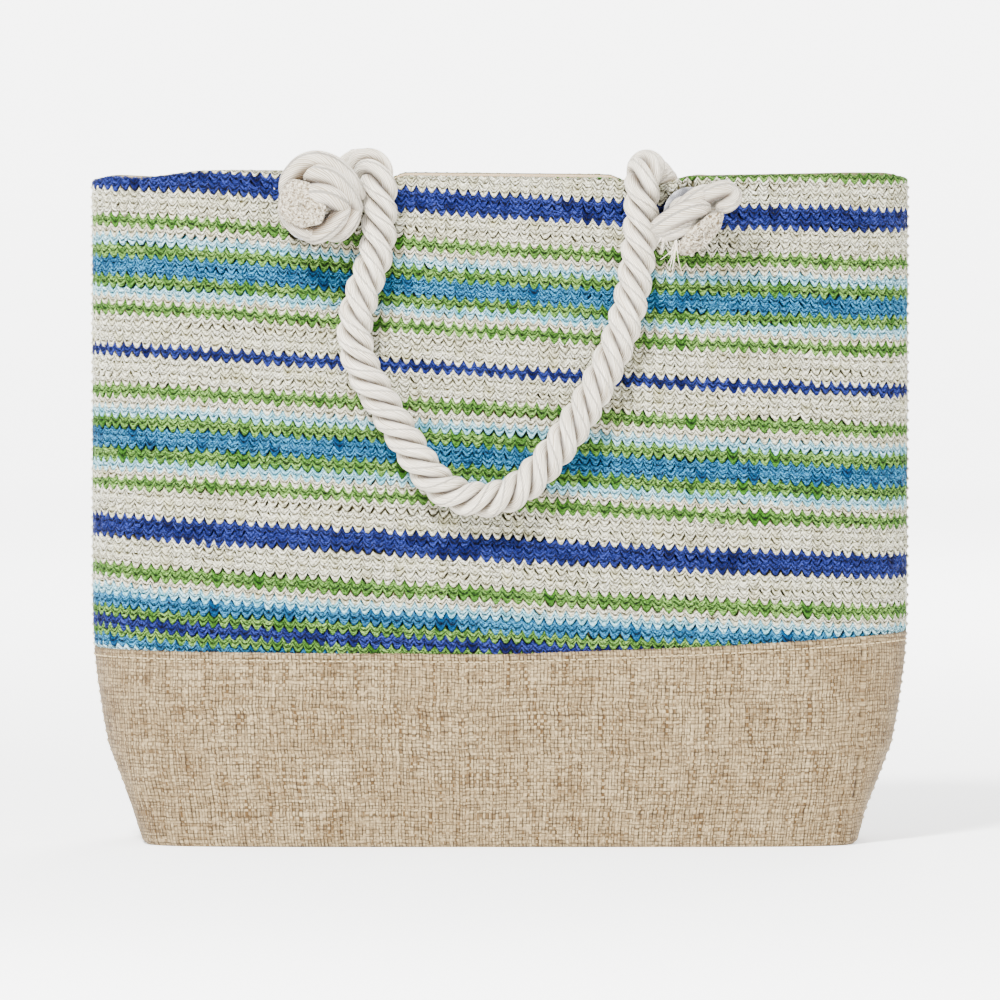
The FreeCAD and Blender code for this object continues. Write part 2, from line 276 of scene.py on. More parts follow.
def burlap_material():
    """Slubby plain weave: each cell shows the thread on top, with dark gaps of painted shade, and painted
    shade near both ends.
    """
    graph = Graph("burlap_weave")
    cloth = graph.attribute("cloth")
    across, up, _ = graph.split(cloth)
    wave_across = graph.math("SINE", graph.times(across, math.pi))
    wave_up = graph.math("SINE", graph.times(up, math.pi))
    product = graph.times(wave_across, wave_up)
    over = graph.span(product, -0.12, 0.12)
    open_across = graph.math("ABSOLUTE", wave_across)
    open_up = graph.math("ABSOLUTE", wave_up)
    upright = graph.noise(cloth, (0.8, 0.45, 1.0), 2.0, 0.6)
    level = graph.noise(cloth, (0.4, 0.8, 1.0), 2.0, 0.6)
    beside = graph.span(open_across, 0.1, 0.8, graph.span(upright, 0.42, 0.62, 0.0, 0.9), 1.0)
    between = graph.span(open_up, 0.1, 0.8, graph.span(level, 0.42, 0.62, 0.2, 1.0), 1.0)
    gap = graph.times(beside, between)
    warp = graph.noise(cloth, (0.9, 0.07, 1.0), 3.0, 0.7)
    weft = graph.noise(cloth, (0.07, 0.9, 1.0), 3.0, 0.7)
    fibre = graph.noise(cloth, (3.0, 3.0, 1.0), 3.0, 0.65)
    patches = graph.noise(cloth, (0.05, 0.05, 1.0))
    low = srgb(70, 50, 25)
    high = srgb(168, 149, 113)
    warp_colour = graph.mix(graph.span(warp, 0.38, 0.62), low, high)
    weft_colour = graph.mix(graph.span(weft, 0.38, 0.62, 0.1, 1.0), low, high)
    colour = graph.mix(over, warp_colour, weft_colour)
    colour = graph.mix(graph.span(fibre, 0.35, 0.7, 0.0, 0.4), colour, srgb(70, 50, 24))
    colour = graph.mix(graph.span(patches, 0.35, 0.65, 0.0, 0.25), colour, srgb(88, 66, 36))
    # painted shade in the gaps between threads
    colour = graph.mix(gap, srgb(24, 14, 4), colour)
    # painted shade: darker towards both ends, where the wall turns away from the light
    ends = graph.span(graph.math("ABSOLUTE", across), 84.0, 134.0, 0.0, 0.3)
    colour = graph.mix(ends, colour, srgb(66, 48, 25))
    height = graph.plus(graph.times(gap, 0.7), graph.times(fibre, 0.5))
    graph.bump(height, 0.6, 0.0006)
    roughness = graph.span(fibre, 0.3, 0.7, 0.78, 0.92)
    return graph.finish(colour, roughness, Specular_IOR_Level=0.2, Sheen_Weight=0.05)


def plain_cloth_material(name, light, dark, pitch):
    """Tightly woven cloth with a fine visible thread."""
    graph = Graph(name)
    place = graph.place()
    x, y, z = graph.split(place)
    turns = 2 * math.pi / pitch
    across = graph.math("SINE", graph.times(graph.plus(x, y), turns))
    up = graph.math("SINE", graph.times(z, turns))
    weave = graph.times(across, up)
    fibre = graph.noise(place, (900, 900, 900), 3.0, 0.6)
    patches = graph.noise(place, (18, 18, 18))
    blend = graph.plus(graph.span(weave, -1, 1, 0.0, 0.5), graph.span(fibre, 0.3, 0.7, 0.0, 0.35))
    blend = graph.plus(blend, graph.span(patches, 0.3, 0.7, 0.0, 0.15))
    colour = graph.mix(blend, light, dark)
    graph.bump(graph.plus(weave, fibre), 0.35, 0.0003)
    return graph.finish(colour, graph.span(fibre, 0.3, 0.7, 0.8, 0.92), Specular_IOR_Level=0.2)


def rope_material():
    """Soft cotton: yarns a millimetre wide nearly along the strand, with a little dust of darker fibre, and
    painted shade in the creases between strands.
    """
    graph = Graph("rope_cotton")
    yarn = graph.attribute("yarn")
    across, _, _ = graph.split(yarn)
    sway = graph.noise(yarn, (0.3, 0.03, 1.0))
    turns = graph.math("MULTIPLY_ADD", sway, 9.0, graph.times(across, 2 * math.pi))
    comb = graph.span(graph.math("SINE", turns), -1.0, 1.0, 0.3, 0.7)
    hairs = graph.noise(yarn, (1.25, 0.045, 1.0), 3.0, 0.62)
    lines = graph.math("MULTIPLY_ADD", comb, 0.5, graph.times(hairs, 0.5))
    coarse = graph.noise(yarn, (0.45, 0.02, 1.0))
    speck = graph.noise(yarn, (1.6, 0.5, 1.0), 2.0, 0.6)
    painted_shade = graph.attribute("painted_shade", "Fac")
    colour = graph.mix(graph.span(lines, 0.38, 0.56), srgb(142, 129, 103), srgb(231, 223, 208))
    colour = graph.mix(graph.span(coarse, 0.3, 0.7, 0.0, 0.3), colour, srgb(184, 172, 148))
    colour = graph.mix(graph.span(speck, 0.64, 0.76, 0.0, 0.6), colour, srgb(140, 126, 102))
    # painted shade in the creases between strands, and over the knots
    colour = graph.mix(painted_shade, colour, srgb(70, 53, 30))
    height = graph.plus(lines, graph.times(coarse, 0.8))
    graph.bump(height, 0.9, 0.0019)
    return graph.finish(colour, 0.88, Specular_IOR_Level=0.2, Sheen_Weight=0.25, Sheen_Roughness=0.5)


def cut_fibre_material():
    """Cut rope end: a dense field of yarn ends, with painted shade at their rims and in small dark gaps
    between them.
    """
    graph = Graph("rope_cut_fibre")
    place = graph.place()
    cells = graph.add("ShaderNodeTexVoronoi", {"feature": "F1"}, {"Vector": place, "Scale": 900.0})
    distance = cells.outputs["Distance"]
    tufts = graph.noise(place, (640, 640, 640), 3.0, 0.7)
    gaps = graph.span(tufts, 0.46, 0.6)
    # painted shade: each yarn end darker towards its rim, and dark gaps between the tufts
    colour = graph.mix(graph.span(distance, 0.25, 0.8), srgb(214, 204, 184), srgb(156, 142, 117))
    colour = graph.mix(gaps, colour, srgb(88, 74, 50))
    domes = graph.span(distance, 0.0, 0.8, 1.0, 0.0)
    graph.bump(graph.plus(domes, graph.span(tufts, 0.4, 0.6, 1.0, 0.0)), 0.8, 0.0009)
    return graph.finish(colour, 0.92, Specular_IOR_Level=0.15, Sheen_Weight=0.2)


def thread_material(name, light, dark):
    """Sewing thread with a fine mottle."""
    graph = Graph(name)
    place = graph.place()
    twist = graph.noise(place, (1400, 1400, 1400))
    colour = graph.mix(graph.span(twist, 0.35, 0.65), light, dark)
    graph.bump(twist, 0.4, 0.0002)
    return graph.finish(colour, 0.7, Specular_IOR_Level=0.3)


def eyelet_material():
    """Nickel-plated metal, its roughness mottled by handling, with lighter and darker patches of painted
    reflection in its colour.
    """
    graph = Graph("eyelet_nickel")
    place = graph.place()
    haze_and_painted_reflection = graph.noise(place, (160, 160, 160), 4.0, 0.6)
    scratch = graph.noise(place, (2400, 300, 300))
    # painted reflection: patches of lighter and darker grey in the metal's colour
    colour = graph.mix(graph.span(haze_and_painted_reflection, 0.35, 0.65), srgb(180, 180, 184), srgb(112, 113, 118))
    graph.bump(scratch, 0.08, 0.0001)
    return graph.finish(colour, graph.span(haze_and_painted_reflection, 0.3, 0.7, 0.14, 0.3), Metallic=1.0)


STRAW_COLOURS = {  # bright; dark, for painted shade and darker fibres; painted glint
    "cream": ((198, 194, 162), (54, 48, 22), (255, 254, 244)),
    "royal": ((5, 12, 68), (0, 1, 14), (58, 74, 162)),
    "green": ((50, 98, 22), (3, 15, 2), (156, 196, 104)),
    "aqua": ((112, 184, 202), (14, 60, 70), (224, 250, 255)),
    "ocean": ((2, 58, 98), (0, 8, 20), (76, 172, 216)),
}
STRAW = {
    name: straw_material(f"straw_{name}", *[srgb(*colour) for colour in colours])
    for name, colours in STRAW_COLOURS.items()
}
# painted shade: the dark khaki stands for the shade in the gaps between rows
SHADE_BACKING = plain_cloth_material("straw_shade_backing", srgb(110, 104, 76), srgb(84, 80, 56), 0.0016)
BURLAP = burlap_material()
FACING = plain_cloth_material("facing_cloth", srgb(188, 168, 138), srgb(146, 124, 94), 0.0014)
LINING = plain_cloth_material("lining_cloth", srgb(196, 186, 166), srgb(164, 152, 130), 0.0009)
ROPE = rope_material()
CUT_FIBRE = cut_fibre_material()
BURLAP_THREAD = thread_material("burlap_thread", srgb(176, 159, 124), srgb(140, 121, 86))
CREAM_THREAD = thread_material("cream_thread", srgb(206, 200, 182), srgb(164, 156, 134))
EYELET = eyelet_material()

# -------- ropes

ROPE_RADIUS = 10.4
STRANDS = 3
LAY = 39.0  # one turn of a strand takes this much of the rope
STEP = 1.25  # distance between the rings of a strand
ROPE_CREASE = (2.25, 1.2, 0.0)  # painted shade on a strand's flanks: where it begins, where it is full, and its least value
# the knots also get painted shade all over, at least 0.3
KNOT_CREASE = (2.9, 1.6, 0.3)


def route_line(points):
    """Line of the smooth spline that a route's points control, in the points' own unit."""
    curve = bpy.data.curves.new("route", "CURVE")
    curve.dimensions = "3D"
    curve.resolution_u = 24
    spline = curve.splines.new("NURBS")
    spline.points.add(len(points) - 1)
    for place, point in zip(spline.points, points):
        place.co = (*point, 1.0)
    spline.order_u = 3
    spline.use_endpoint_u = True
    holder = bpy.data.objects.new("route", curve)
    mesh = bpy.data.meshes.new_from_object(holder)
    line = np.array([vertex.co[:] for vertex in mesh.vertices])
    bpy.data.objects.remove(holder)
    bpy.data.curves.remove(curve)
    bpy.data.meshes.remove(mesh)
    return line


class Route:
    """Evenly spaced places along a line in millimetres, with a frame that doesn't twist."""

    def __init__(self, line, step=STEP):
        gaps = np.linalg.norm(np.diff(line, axis=0), axis=1)
        keep = np.concatenate([[True], gaps > 1e-6])
        line = line[keep]
        reach = np.concatenate([[0.0], np.cumsum(np.linalg.norm(np.diff(line, axis=0), axis=1))])
        count = int(round(reach[-1] / step)) + 1
        self.reach = np.linspace(0.0, reach[-1], count)
        self.places = np.stack([np.interp(self.reach, reach, line[:, axis]) for axis in range(3)], axis=1)
        self.heading = np.gradient(self.places, self.reach, axis=0)
        self.heading /= np.linalg.norm(self.heading, axis=1)[:, None]
        first = np.cross(self.heading[0], (0.3, 0.2, 0.93))
        self.normal = np.zeros_like(self.places)
        self.normal[0] = first / np.linalg.norm(first)
        for index in range(1, count):
            before, ahead = self.normal[index - 1], self.heading[index]
            carried = before - ahead * (before @ ahead)
            self.normal[index] = carried / np.linalg.norm(carried)
        self.binormal = np.cross(self.heading, self.normal)

    def nearest(self, point):
        return int(np.argmin(np.linalg.norm(self.places - np.asarray(point), axis=1)))


def strand_form(
    heap, path, radial, half_radial, half_wide, around, seed, slant, piece=slice(None), crease=ROPE_CREASE
):
    """One strand, or a piece of it: a flattened tube along path, half_radial thick towards radial."""
    heading = np.gradient(path, axis=0)
    length = np.linalg.norm(heading, axis=1)
    heading /= length[:, None]
    reach = np.cumsum(length)
    outward = radial - heading * np.sum(radial * heading, axis=1)[:, None]
    outward /= np.linalg.norm(outward, axis=1)[:, None]
    sideways = np.cross(heading, outward)
    angle = np.linspace(0, 2 * math.pi, around, endpoint=False)
    ripple = 1 + 0.018 * np.sin(5 * angle + 0.11 * reach[:, None] + seed)
    ripple += 0.012 * np.sin(9 * angle - 0.23 * reach[:, None] + 2.1 * seed)
    cosine = np.sign(np.cos(angle)) * np.abs(np.cos(angle)) ** 0.9
    sine = np.sign(np.sin(angle)) * np.abs(np.sin(angle)) ** 0.9
    high = cosine * np.reshape(half_radial, (-1, 1)) * ripple
    wide = sine * np.reshape(half_wide, (-1, 1)) * ripple
    points = path[:, None, :] + high[..., None] * outward[:, None, :] + wide[..., None] * sideways[:, None, :]
    around_mm = angle * 4.6 - slant * reach[:, None]
    yarn = np.stack(np.broadcast_arrays(around_mm, reach[:, None], seed * 7.0), axis=-1)
    # painted shade on the side of a strand that faces into the rope or the knot
    begin, full, least = crease
    painted_shade = np.maximum(smooth_step(np.abs(angle - math.pi), begin, full), least)
    painted_shade = np.broadcast_to(painted_shade, points.shape[:2])
    points, yarn, painted_shade = points[piece], yarn[piece], painted_shade[piece]
    heap.add(points, side_quads(len(points), around), {"painted_shade": painted_shade.ravel()}, {"yarn": yarn})
    heap.add(points[0], cap_quads(around)[:, ::-1], {"painted_shade": painted_shade[0]}, {"yarn": yarn[0]})
    heap.add(points[-1], cap_quads(around), {"painted_shade": painted_shade[-1]}, {"yarn": yarn[-1]})


def laid_rope(heap, route, first, last, radius=ROPE_RADIUS, around=26, turn=0.0, lay=LAY):
    """Strands laid left-handed round a route, from one of its places to another."""
    radius = np.broadcast_to(radius, len(route.reach))
    for strand in range(STRANDS):
        angle = turn + 2 * math.pi * strand / STRANDS - 2 * math.pi * route.reach / lay
        radial = np.cos(angle)[:, None] * route.normal + np.sin(angle)[:, None] * route.binormal
        middle = route.places + radial * (0.54 * radius)[:, None]
        seed = 1.7 * strand + turn
        part = slice(first, last + 1)
        strand_form(heap, middle, radial, 0.46 * radius, 0.385 * radius, around, seed, 0.5, part)


def mirrored(points):
    return [(x, -y, z) for x, y, z in points]


# Points of the two ropes' routes, in metres. They are the CAD model's, except that the bend at the right of
# each rope is moved to follow the photo.
FRONT_LOOP = [
    (-0.0687, -0.0607, 0.363), (-0.07, -0.0612, 0.342), (-0.0785, -0.0624, 0.32), (-0.084, -0.0634, 0.3),
    (-0.0815, -0.0648, 0.28), (-0.071, -0.0662, 0.261), (-0.059, -0.0675, 0.242), (-0.0475, -0.0688, 0.2235),
    (-0.0355, -0.0695, 0.208), (-0.0203, -0.07, 0.2005), (-0.0032, -0.0701, 0.1997), (0.0126, -0.07, 0.2064),
    (0.0305, -0.0694, 0.2255), (0.0455, -0.068, 0.247), (0.0585, -0.0662, 0.27), (0.069, -0.0642, 0.293),
    (0.0755, -0.0625, 0.316), (0.0793, -0.0613, 0.3395), (0.0813, -0.0607, 0.363),
]
FRONT_LEFT = [
    (-0.1105, -0.062, 0.363), (-0.1075, -0.031, 0.363), (-0.0845, -0.0315, 0.391), (-0.0693, -0.0605, 0.391),
]
FRONT_RIGHT = [
    (0.1105, -0.062, 0.363), (0.1045, -0.031, 0.363), (0.086, -0.0315, 0.389), (0.0812, -0.0605, 0.389),
]
REAR_LOOP = mirrored([
    (-0.0725, -0.0607, 0.36), (-0.0735, -0.0614, 0.338), (-0.0775, -0.0628, 0.311), (-0.0765, -0.0644, 0.285),
    (-0.0665, -0.0664, 0.258), (-0.052, -0.068, 0.233), (-0.034, -0.0695, 0.211), (-0.013, -0.0702, 0.2),
    (0.009, -0.0702, 0.2005), (0.03, -0.0696, 0.213), (0.047, -0.0682, 0.2355), (0.063, -0.0662, 0.26),
    (0.0755, -0.064, 0.286), (0.081, -0.0624, 0.312), (0.0835, -0.0612, 0.338), (0.0845, -0.0607, 0.36),
])
REAR_LEFT = mirrored([
    (-0.1105, -0.062, 0.36), (-0.108, -0.031, 0.36), (-0.088, -0.0315, 0.388), (-0.073, -0.0605, 0.388),
])
REAR_RIGHT = mirrored([
    (0.1105, -0.062, 0.36), (0.106, -0.031, 0.36), (0.087, -0.0315, 0.387), (0.083, -0.0605, 0.387),
])


def cut_end(heap, route, radii, tilt, depth, bulge):
    """Domed, rough face that closes a cut rope end at the last place of its route."""
    rings = 12
    spokes = 48
    centre = route.places[-1]
    ahead = route.heading[-1]
    level = np.cross((0.0, 0.0, 1.0), ahead)
    level /= np.linalg.norm(level)
    upright = np.cross(ahead, level)
    across = math.cos(tilt) * level + math.sin(tilt) * upright
    beside = (math.cos(tilt) * upright - math.sin(tilt) * level) * radii[1] / radii[0]
    share = np.linspace(0, 1, rings)[:, None]
    angle = np.linspace(0, 2 * math.pi, spokes, endpoint=False)[:, None]
    bumps = 1 + 0.05 * np.sin(3 * angle + 0.7) + 0.03 * np.sin(7 * angle + 1.9)
    outward = radii[0] * bumps * (np.cos(angle) * across + np.sin(angle) * beside)
    lift = bulge * (1 - (1 - share) ** 2.2) + random.normal(0, 0.32, (rings, spokes)) * (share > 0.05)
    face = centre + outward * (1 - share)[..., None] + lift[..., None] * ahead
    skirt = centre + 0.82 * outward - depth * ahead
    heap.add(np.concatenate([skirt[None], face]), tube_quads(rings + 1, spokes))


def fibres(heap, root, ahead, count, length, spread, droop, fan=0.35, thickness=0.28):
    """Loose yarn ends that leave a cut, each a thin bent tube."""
    for _ in range(count):
        start = root + random.normal(0, spread, 3)
        way = ahead + random.normal(0, fan, 3)
        way /= np.linalg.norm(way)
        bend = random.normal(0, 0.35, 3) + np.array([0, 0, -droop])
        reach = np.linspace(0, 1, 7)[:, None] * length * random.uniform(0.6, 1.15)
        line = start + way * reach + bend * reach**2 / length
        route = Route(line, 1.1)
        angle = np.linspace(0, 2 * math.pi, 6, endpoint=False)
        thin = np.linspace(thickness, thickness * 0.45, len(route.reach))[:, None, None]
        ring = np.cos(angle)[:, None] * route.normal[:, None, :]
        ring = ring + np.sin(angle)[:, None] * route.binormal[:, None, :]
        points = route.places[:, None, :] + thin * ring
        yarn = np.broadcast_to(random.uniform(0, 40, 3), (points.shape[0] * 6, 3))
        heap.add(points, tube_quads(len(route.reach), 6), {"painted_shade": 0.0}, {"yarn": yarn})


# Strands of each knot round its centre, with their radii, and the tail behind its cut end. In millimetres: +X
# right, +Z up, -Y away from the front panel.
ROUND_STRANDS = [
    (16.5, [(-6, 7, -8), (0, 6, 0), (6, 7, 8)]),
    (6.2, [(-19.5, 6, 1), (-18.2, 0, 6), (-15.5, -4, 11.5), (-9.5, -6, 18), (-1, -7, 20.4),
           (8, -7.5, 17.6), (15.5, -6, 10.5), (20.5, -3, 4), (24, 3, 0)]),
    (5.8, [(-8, 0, 11), (-4, -8, 12.8), (2, -12.5, 13.2), (8.5, -12, 10.8), (14, -9.5, 5),
           (18.5, -7, -1), (21.5, -2, -6.5)]),
    (6.4, [(-9, -8, 1), (-2, -12.5, 2), (5, -13.5, 1.4), (10.5, -11, -1.5), (14.5, -5, -4.5),
           (13, 2, -6)]),
    (3.6, [(15, -3, 6), (18.5, -8.5, 1), (21, -7.5, -4.5), (23, -2, -9)]),
    (4.6, [(-21, 5, -4), (-19, -1, -11), (-13, -5, -17.6), (-5, -7, -21), (3, -6, -20.8),
           (8, 0, -17)]),
    (5.4, [(-8, -1, -23), (-1, -7.5, -22.4), (6, -10, -18), (11.5, -9.5, -12), (15, -5, -6.5),
           (15, 1, -3)]),
    (5.2, [(5, 2, -23), (11.5, -3, -21.6), (17, -5.5, -16), (19.8, -4.5, -9.5), (20.5, 0, -3.5)]),
]
ROUND_TAIL = [(-5, 4, -3.6), (-7, -3, -3.8), (-8.6, -8.5, -4.2), (-9.8, -13, -4.4)]
SLANTED_STRANDS = [
    (9.5, [(-12, 6, -9), (0, 5, -1), (10, 4, 7)]),
    (5.6, [(-15.4, 4, -4.8), (-12, -4, -0.2), (-6.8, -8.5, 5.8), (-0.4, -8.5, 10.4), (5, -3, 12.6)]),
    (4.9, [(-1.5, -4, 7), (3.5, -9.5, 10.4), (9.5, -10.5, 13.2), (15, -8.5, 13.8), (19, -4, 11)]),
    (4.6, [(13.5, -2, 14.5), (18.5, -6.5, 11), (17.8, -9, 6.8), (13.6, -9.5, 3.6), (9, -5, 2.5)]),
    (5.9, [(-27, 3, -10), (-23, -4, -7.6), (-15.5, -9.5, -2.6), (-8, -12, 1.2), (-1, -11.5, 3.2),
           (3, -6, 2.4)]),
    (4.6, [(-25.5, 4, -13.5), (-21, -3, -12.8), (-14.5, -6.5, -10.5), (-8, -7.5, -7.4), (-3, -4, -5)]),
]
SLANTED_TAIL = [(-2.6, 3, -5), (-2, -1, -8), (-1.2, -5, -10.6), (-0.6, -9, -12.8)]


def seen_from_behind(points, tilt):
    """The same points behind the rear panel, swung about the line of sight."""
    cosine = math.cos(tilt)
    sine = math.sin(tilt)
    return [(-x * cosine + z * sine, -y, x * sine + z * cosine) for x, y, z in points]


def knot(name, centre, strands, tail, radii, tilt, tufts, behind=None):
    """A pulled-tight knot: the strands that show on it, and the rope's cut end."""

    def route(points, step):
        if behind is not None:
            points = seen_from_behind(points, behind)
        return Route(route_line([tuple(c + p for c, p in zip(centre, point)) for point in points]), step)

    body = Heap()
    for number, (radius, points) in enumerate(strands):
        line = route(points, 1.1)
        swell = 1 - 0.5 * np.abs(2 * line.reach / line.reach[-1] - 1) ** 4
        outward = line.places - np.array([centre[0], 0.86 * centre[1], centre[2]])
        strand_form(
            body, line.places, outward, radius * swell, 1.03 * radius * swell, 28, 0.8 * number, 0.45,
            crease=KNOT_CREASE,
        )
    stub = route(tail, 1.0)
    laid_rope(body, stub, 0, len(stub.reach) - 1, 0.92 * min(radii), 22, 1.1, 70.0)
    for place, count, length in tufts:
        root = route([place, (place[0] - 1.0, place[1] - 1.0, place[2] - 3.0)], 1.0)
        fibres(body, root.places[0], root.heading[-1], count, length, 0.8, 0.5, 0.16)
    fibres(body, stub.places[-1], stub.heading[-1], 20, 3.6, 0.45 * min(radii), 0.1)
    knotted = body.piece(name + "_strands", ROPE)
    head = Heap()
    cut_end(head, stub, radii, tilt, 5.0, 0.3 * min(radii))
    return knotted, head.piece(name + "_cut_end", CUT_FIBRE)


def handle(word, left, loop, right, turn):
    """The pieces of one rope, cut where the bends begin and end, and the line of its hanging loop."""
    route = Route(route_line(left + loop + right[::-1]) / MM)
    cuts = [(left[1], left[2]), (left[3], loop[0]), (right[3], loop[-1]), (right[1], right[2])]
    marks = [0] + [route.nearest(np.mean(cut, axis=0) / MM) for cut in cuts] + [len(route.reach) - 1]
    body = f"{word}_handle"
    names = ["left_rope_end", "left_rope_bend", "handle_rope", "right_rope_bend", "right_rope_end"]
    pieces = []
    for name, first, last in zip(names, marks, marks[1:]):
        heap = Heap()
        laid_rope(heap, route, first, last, turn=turn)
        piece = heap.piece(f"{word}_{name}_strands", ROPE)
        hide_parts(f"{word}_{name}")
        if name == "handle_rope":
            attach(piece, body)
        elif name.endswith("bend"):
            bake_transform(piece)
        else:
            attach(piece, "bag")
        pieces.append(piece)
    path = [tuple(place) for place in route.places[marks[2]:marks[3] + 1] * MM]
    return pieces, path


front_pieces, front_path = handle("front", FRONT_LEFT, FRONT_LOOP, FRONT_RIGHT, 0.6)
rear_pieces, rear_path = handle("rear", REAR_LEFT, REAR_LOOP, REAR_RIGHT, 2.0)

# Each knot: its centre, its strands and its tail, the two radii and the tilt of the cut end, its loose tufts
# (place, count and length), and for the rear ones the angle that they are swung by.
KNOTS = {
    "front_left_knot": ((-103.5, -68.9, 374.0), ROUND_STRANDS, ROUND_TAIL, (14.8, 13.0), -0.7, []),
    "front_right_knot": (
        (115.4, -69.6, 365.0), SLANTED_STRANDS, SLANTED_TAIL, (17.5, 7.2), 0.87,
        [((-14.0, -8.0, -17.5), 16, 8.0), ((-21.0, -6.0, -14.5), 10, 3.5)],
    ),
    "rear_left_knot": (
        (-106.5, 69.0, 356.0), ROUND_STRANDS, ROUND_TAIL, (12.4, 11.0), -0.4,
        [((-12.0, -12.0, -12.0), 10, 6.0)], 0.5,
    ),
    "rear_right_knot": (
        (118.5, 68.6, 356.0), ROUND_STRANDS, ROUND_TAIL, (12.0, 11.4), 0.5,
        [((-8.0, -13.0, -13.0), 16, 8.0)], -0.6,
    ),
}
for name, facts in KNOTS.items():
    knotted, end = knot(name, *facts)
    for piece in (knotted, end):
        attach(piece, "bag")
    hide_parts(name)
    (front_pieces if name.startswith("front") else rear_pieces).extend([knotted, end])

# -------- outline of the bag

SIDES = (("front", -1), ("rear", 1))
HEIGHT_STEP = 2.0
HEIGHTS = np.arange(-6.0, 400.1, HEIGHT_STEP)
SHARES = np.linspace(-1.0, 1.0, 481)  # place along a panel, from its left side seam to its right one
PANEL_HALF = 268.0  # half a panel's length along the wall, for patterns
FLARE_Z = [0, 21, 39, 56, 73, 91, 108, 125, 145, 386]
FLARE_X = [205.3, 212.3, 219.4, 225.8, 229.0, 231.7, 233.7, 234.7, 235.0, 235.0]  # half the width there


def outline_tables():
    """Front wall's X and Y for each height and share, and half the wall's length at each height."""
    xs, ys, arcs = [], [], []
    angle = np.linspace(-math.pi / 2, math.pi / 2, 2401)
    for height in HEIGHTS:
        width = np.interp(height, FLARE_Z, FLARE_X)
        depth = np.interp(height, [0, 145, 386], [62, 60, 49.5])
        power = np.interp(height, [0, 60, 145, 386], [6.0, 3.6, 2.7, 2.3])
        reach = (np.abs(np.sin(angle)) ** power + np.abs(np.cos(angle)) ** power) ** (-1 / power)
        x = width * reach * np.sin(angle)
        y = -depth * reach * np.cos(angle)
        length = np.concatenate([[0.0], np.cumsum(np.hypot(np.diff(x), np.diff(y)))])
        share = 2 * length / length[-1] - 1
        xs.append(np.interp(SHARES, share, x))
        ys.append(np.interp(SHARES, share, y))
        arcs.append(length[-1] / 2)
    return np.array(xs), np.array(ys), np.array(arcs)


TABLE_X, TABLE_Y, HALF_ARC = outline_tables()
LEVELS = np.repeat(HEIGHTS[:, None], len(SHARES), axis=1)
UPWARD, ALONG = (
    np.stack([np.gradient(table, axis=axis) for table in (TABLE_X, TABLE_Y, LEVELS)], axis=-1)
    for axis in (0, 1)
)
NORMALS = np.cross(ALONG, UPWARD)
NORMALS /= np.linalg.norm(NORMALS, axis=-1)[..., None]


def read_table(table, share, height):
    """Value between a table's nearest heights and shares."""
    row = np.clip((height - HEIGHTS[0]) / HEIGHT_STEP, 0, len(HEIGHTS) - 1.001)
    column = np.clip((share + 1) / 2 * (len(SHARES) - 1), 0, len(SHARES) - 1.001)
    low, left = row.astype(int), column.astype(int)
    up, over = row - low, column - left
    if table.ndim == 3:
        up, over = up[..., None], over[..., None]
    lower = table[low, left] * (1 - over) + table[low, left + 1] * over
    upper = table[low + 1, left] * (1 - over) + table[low + 1, left + 1] * over
    return lower * (1 - up) + upper * up


def x_at(share, height):
    """X of the front wall at one height."""
    return read_table(TABLE_X, share, np.full(np.shape(share), height))


def soft_wave(share, height, side):
    """How far the soft wall stands in or out of its plain outline."""
    x = share * PANEL_HALF
    wave = 1.1 * np.sin(x / 47 + 0.6 * side + height / 90) * np.sin(height / 61 + 0.4)
    wave += 0.7 * np.sin(x / 23 - height / 34 + side)
    corner = np.exp(-(((np.abs(share) - 0.72) / 0.1) ** 2)) * np.exp(-(((height - 22) / 26) ** 2))
    wave += 1.6 * corner * np.sin((np.abs(x) * 0.8 + height) / 5.2 + side)
    fade = smooth_step(height, 2, 22) * smooth_step(height, 352, 318) * smooth_step(np.abs(share), 0.995, 0.9)
    return (wave - 0.9) * fade


EDGE_X = [-236, -227, -208, -194, -176, -143, -110, -51, 63, 110, 200, 226, 236]
EDGE_Z = {
    -1: [380.8, 384.6, 383.2, 384.8, 387.6, 388.4, 387.4, 385.2, 384.0, 385.2, 386.4, 386.0, 382.2],
    1: [382.2, 384.0, 383.2, 383.0, 382.4, 382.4, 382.2, 383.4, 384.4, 382.8, 382.4, 384.0, 380.8],
}
SEAM_X = [-235, -115, 0, 115, 235]
SEAM_Z = [112.0, 111.0, 110.5, 114.5, 121.0]
DIPS = {-1: ((-76.9, 378.5), (86.0, 378.5)), 1: ((-87.0, 375.5), (80.5, 375.5))}  # as seen from that side
DIP_RADIUS = 40.0
EYELET_X = 109.0
EYELET_Z = {-1: 363.0, 1: 360.0}
FOLD = 2.2  # radius of the turned top edge
FOLD_REACH = 3.9  # how far the cloth goes round it
MOUTH_Z = 380.0  # the top edge's X is read at this height


def eased(x, places, values, softness=8.0):
    """Values between places along X, with the corners rounded off."""
    fine = np.arange(-260, 261, 2.0)
    plain = np.interp(fine, places, values)
    bell = np.exp(-((np.arange(-20, 21) / softness) ** 2))
    padded = np.pad(plain, 20, mode="edge")
    return np.interp(x, fine, np.convolve(padded, bell / bell.sum(), mode="valid"))


def top_edge(x, side):
    """Height of the top edge, with its dips under the ropes."""
    edge = eased(x, EDGE_X, EDGE_Z[side], 3.0)
    for centre, low in DIPS[side]:
        reach = np.clip(np.abs(x - centre), 0, DIP_RADIUS - 0.5)
        dip = low + 1.4 + DIP_RADIUS - np.sqrt(DIP_RADIUS**2 - reach**2)
        edge = -np.logaddexp(-edge / 0.9, -dip / 0.9) * 0.9
    return edge


def seam_height(x):
    """Height of the seam between straw and burlap."""
    return eased(x, SEAM_X, SEAM_Z)


def turned(points, side):
    """Front points as they are, or turned half a turn about Z for the rear."""
    return points if side < 0 else points * np.array([-1.0, -1.0, 1.0])


